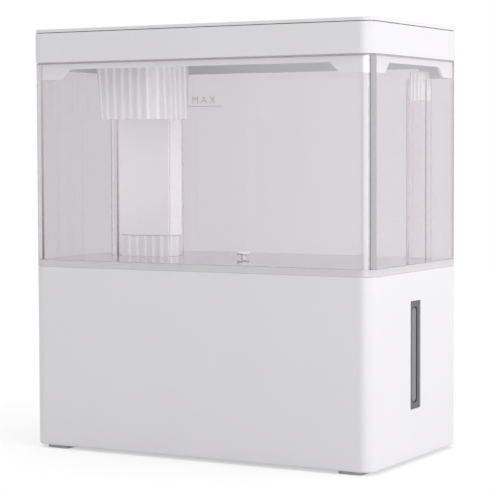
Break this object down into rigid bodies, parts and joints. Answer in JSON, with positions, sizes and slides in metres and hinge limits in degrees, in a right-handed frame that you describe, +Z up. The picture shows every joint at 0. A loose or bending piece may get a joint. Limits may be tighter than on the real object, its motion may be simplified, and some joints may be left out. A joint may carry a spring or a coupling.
{
  "type": "cool mist humidifier",
  "caption": "Box-shaped cool mist humidifier: white base with an ultrasonic mist maker, lift-off clear water tank with a mist tube, and a white lid with a turning outlet.",
  "frame": {"origin": "centre of the footprint on the table, at the underside of the feet", "axes": "+Z up, -Y the broad front face, +X the side with the indicator window, -X the side with the knob, +Y the back with the power inlet"},
  "size_m": [0.291, 0.157, 0.3237],
  "materials": {
    "white_shell": "satin gloss white ABS",
    "white_inner": "matte white ABS",
    "clear_tank": "clear polished styrene-acrylonitrile",
    "frosted": "translucent white polypropylene",
    "smoked": "smoked grey acrylic",
    "rubber_grey": "matte grey rubber",
    "rubber_white": "white silicone",
    "black_plastic": "matte black plastic",
    "steel": "zinc-plated steel",
    "sink_metal": "plain aluminium",
    "board": "green laminate",
    "disc_metal": "nickel-faced ceramic on brass"
  },
  "bodies": {
    "base": {"base_shell": "white_shell", "bottom_cover": "white_inner", "foot_left_front": "rubber_grey", "foot_left_back": "rubber_grey", "foot_right_front": "rubber_grey", "foot_right_back": "rubber_grey", "water_basin": "white_inner", "transducer_seal": "rubber_white", "transducer_disc": "disc_metal", "transducer_clamp": "black_plastic", "drive_board": "board", "heat_sink": "sink_metal", "fog_cover": "white_inner", "mist_spigot": "frosted", "fan_frame": "black_plastic", "air_duct": "white_inner", "float_cap": "white_inner", "knob_cup": "white_inner", "potentiometer": "black_plastic", "potentiometer_nut": "steel", "power_inlet": "black_plastic", "power_board": "board", "indicator_window": "smoked", "indicator_board": "board", "cover_screws": "steel", "board_screws": "steel"},
    "tank": {"tank_shell": "clear_tank", "mist_tube": "clear_tank", "mist_tube_liner": "frosted", "overflow_pipe": "clear_tank", "overflow_strainer": "frosted", "valve_seat": "clear_tank", "valve_spring": "steel"},
    "lid": {"lid_shell": "white_shell", "lid_plate": "white_shell", "lid_skirt": "white_inner", "mist_collar": "frosted", "nozzle_bezel": "white_inner"},
    "valve": {"valve_plunger": "frosted", "valve_seal": "rubber_white"},
    "nozzle": {"mist_nozzle": "white_shell"},
    "fan": {"fan_rotor": "black_plastic"},
    "float": {"water_float": "white_inner"},
    "knob": {"control_knob": "white_shell"}
  },
  "joints": [
    {"name": "tank_lift", "type": "slide", "parent": "base", "child": "tank", "axis": [0, 0, 1], "range_m": [0, 0.06]},
    {"name": "lid_lift", "type": "slide", "parent": "tank", "child": "lid", "axis": [0, 0, 1], "range_m": [0, 0.06]},
    {"name": "nozzle_turn", "type": "hinge", "parent": "lid", "child": "nozzle", "pos_m": [-0.094, 0.009, 0.32], "axis": [0, 0, 1], "continuous": true},
    {"name": "knob_turn", "type": "hinge", "parent": "base", "child": "knob", "pos_m": [-0.138, 0, 0.0545], "axis": [-1, 0, 0], "range_deg": [0, 280]},
    {"name": "fan_spin", "type": "hinge", "parent": "base", "child": "fan", "pos_m": [0.102, 0, 0.015], "axis": [0, 0, 1], "continuous": true},
    {"name": "valve_plunge", "type": "slide", "parent": "tank", "child": "valve", "axis": [0, 0, 1], "range_m": [-0.0025, 0], "deforming": ["valve_spring"]},
    {"name": "float_rise", "type": "slide", "parent": "base", "child": "float", "axis": [0, 0, 1], "range_m": [0, 0.01]}
  ],
  "couplings": [
    {"joint": "valve_plunge", "follows": "tank_lift", "ratio": -0.0416}
  ]
}
